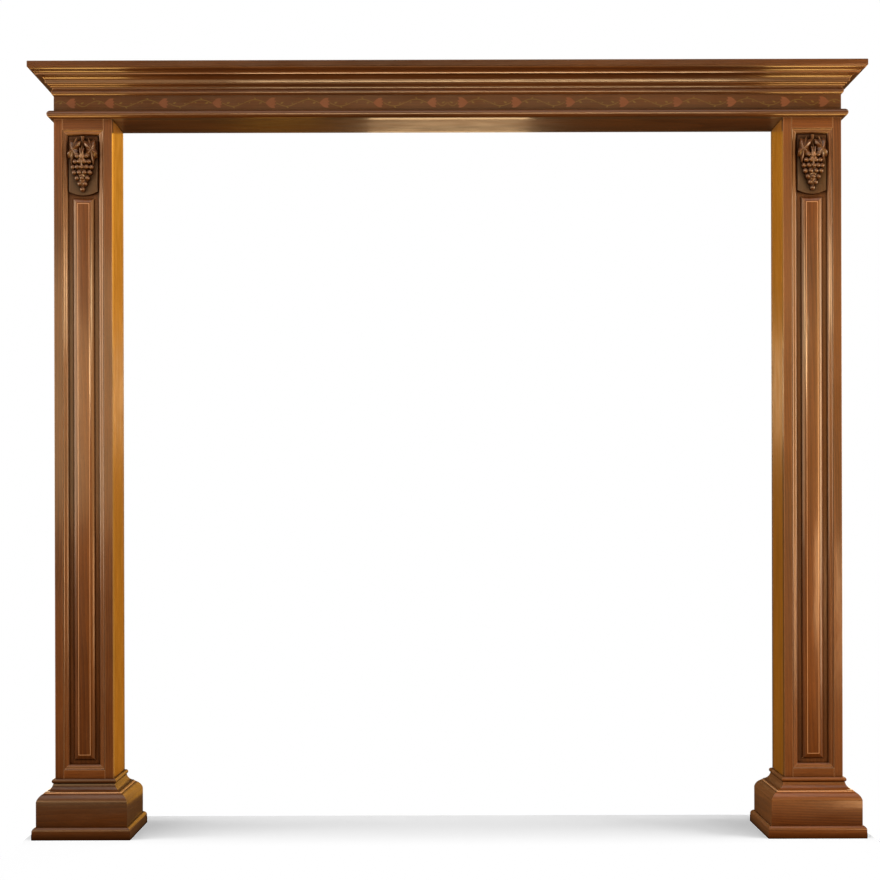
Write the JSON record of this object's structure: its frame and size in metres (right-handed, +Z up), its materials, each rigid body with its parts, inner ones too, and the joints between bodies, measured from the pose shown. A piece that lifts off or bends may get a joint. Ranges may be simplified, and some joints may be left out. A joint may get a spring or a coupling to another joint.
{
  "type": "door frame",
  "caption": "Free-standing classical door frame in glossy walnut: panelled posts with carved grapes, moulded plinths and an inlaid frieze under a cornice.",
  "frame": {"origin": "on the floor, in the middle of the doorway in width and depth", "axes": "+X along the width to the viewer's right, -Y out of the front, +Z up"},
  "size_m": [2.746, 0.366, 2.545],
  "materials": {
    "stiles_and_rails": "walnut, stained and lacquered to a gloss",
    "frame_mouldings": "walnut, lacquered, paler on the worn bead",
    "raised_panels": "figured walnut, lacquered to a gloss",
    "carving": "carved walnut, darker in the hollows, lacquered",
    "side_boards": "walnut, lacquered",
    "reveals": "golden walnut, lacquered to a high gloss",
    "back_boards": "walnut, lacquered, plainer",
    "plinths": "walnut, lacquered",
    "inlaid_frieze": "walnut with flush inlay in rose-brown and olive woods, lacquered",
    "head_mouldings": "walnut, lacquered"
  },
  "bodies": {
    "root": {"left_post_outer_stile": "stiles_and_rails", "left_post_inner_stile": "stiles_and_rails", "left_post_top_rail": "stiles_and_rails", "left_post_bottom_rail": "stiles_and_rails", "left_post_outer_moulding": "frame_mouldings", "left_post_inner_moulding": "frame_mouldings", "left_post_top_moulding": "frame_mouldings", "left_post_bottom_moulding": "frame_mouldings", "left_post_raised_panel": "raised_panels", "left_post_capital_plaque": "raised_panels", "left_post_grape_carving": "carving", "left_post_reveal_board": "reveals", "left_post_outer_board": "side_boards", "left_post_back_board": "back_boards", "left_plinth_block": "plinths", "left_plinth_base_mould": "plinths", "left_plinth_cap_mould": "plinths", "left_plinth_neck_bead": "plinths", "right_post_outer_stile": "stiles_and_rails", "right_post_inner_stile": "stiles_and_rails", "right_post_top_rail": "stiles_and_rails", "right_post_bottom_rail": "stiles_and_rails", "right_post_outer_moulding": "frame_mouldings", "right_post_inner_moulding": "frame_mouldings", "right_post_top_moulding": "frame_mouldings", "right_post_bottom_moulding": "frame_mouldings", "right_post_raised_panel": "raised_panels", "right_post_capital_plaque": "raised_panels", "right_post_grape_carving": "carving", "right_post_reveal_board": "reveals", "right_post_outer_board": "side_boards", "right_post_back_board": "back_boards", "right_plinth_block": "plinths", "right_plinth_base_mould": "plinths", "right_plinth_cap_mould": "plinths", "right_plinth_neck_bead": "plinths", "head_front_frieze_board": "inlaid_frieze", "head_back_frieze_board": "back_boards", "head_left_end_board": "side_boards", "head_right_end_board": "side_boards", "head_soffit_board": "reveals", "front_astragal": "head_mouldings", "back_astragal": "head_mouldings", "left_astragal": "head_mouldings", "right_astragal": "head_mouldings", "front_bed_mould": "head_mouldings", "back_bed_mould": "head_mouldings", "left_bed_mould": "head_mouldings", "right_bed_mould": "head_mouldings", "front_crown_mould": "head_mouldings", "back_crown_mould": "head_mouldings", "left_crown_mould": "head_mouldings", "right_crown_mould": "head_mouldings", "head_cap_board": "head_mouldings"}
  },
  "joints": []
}
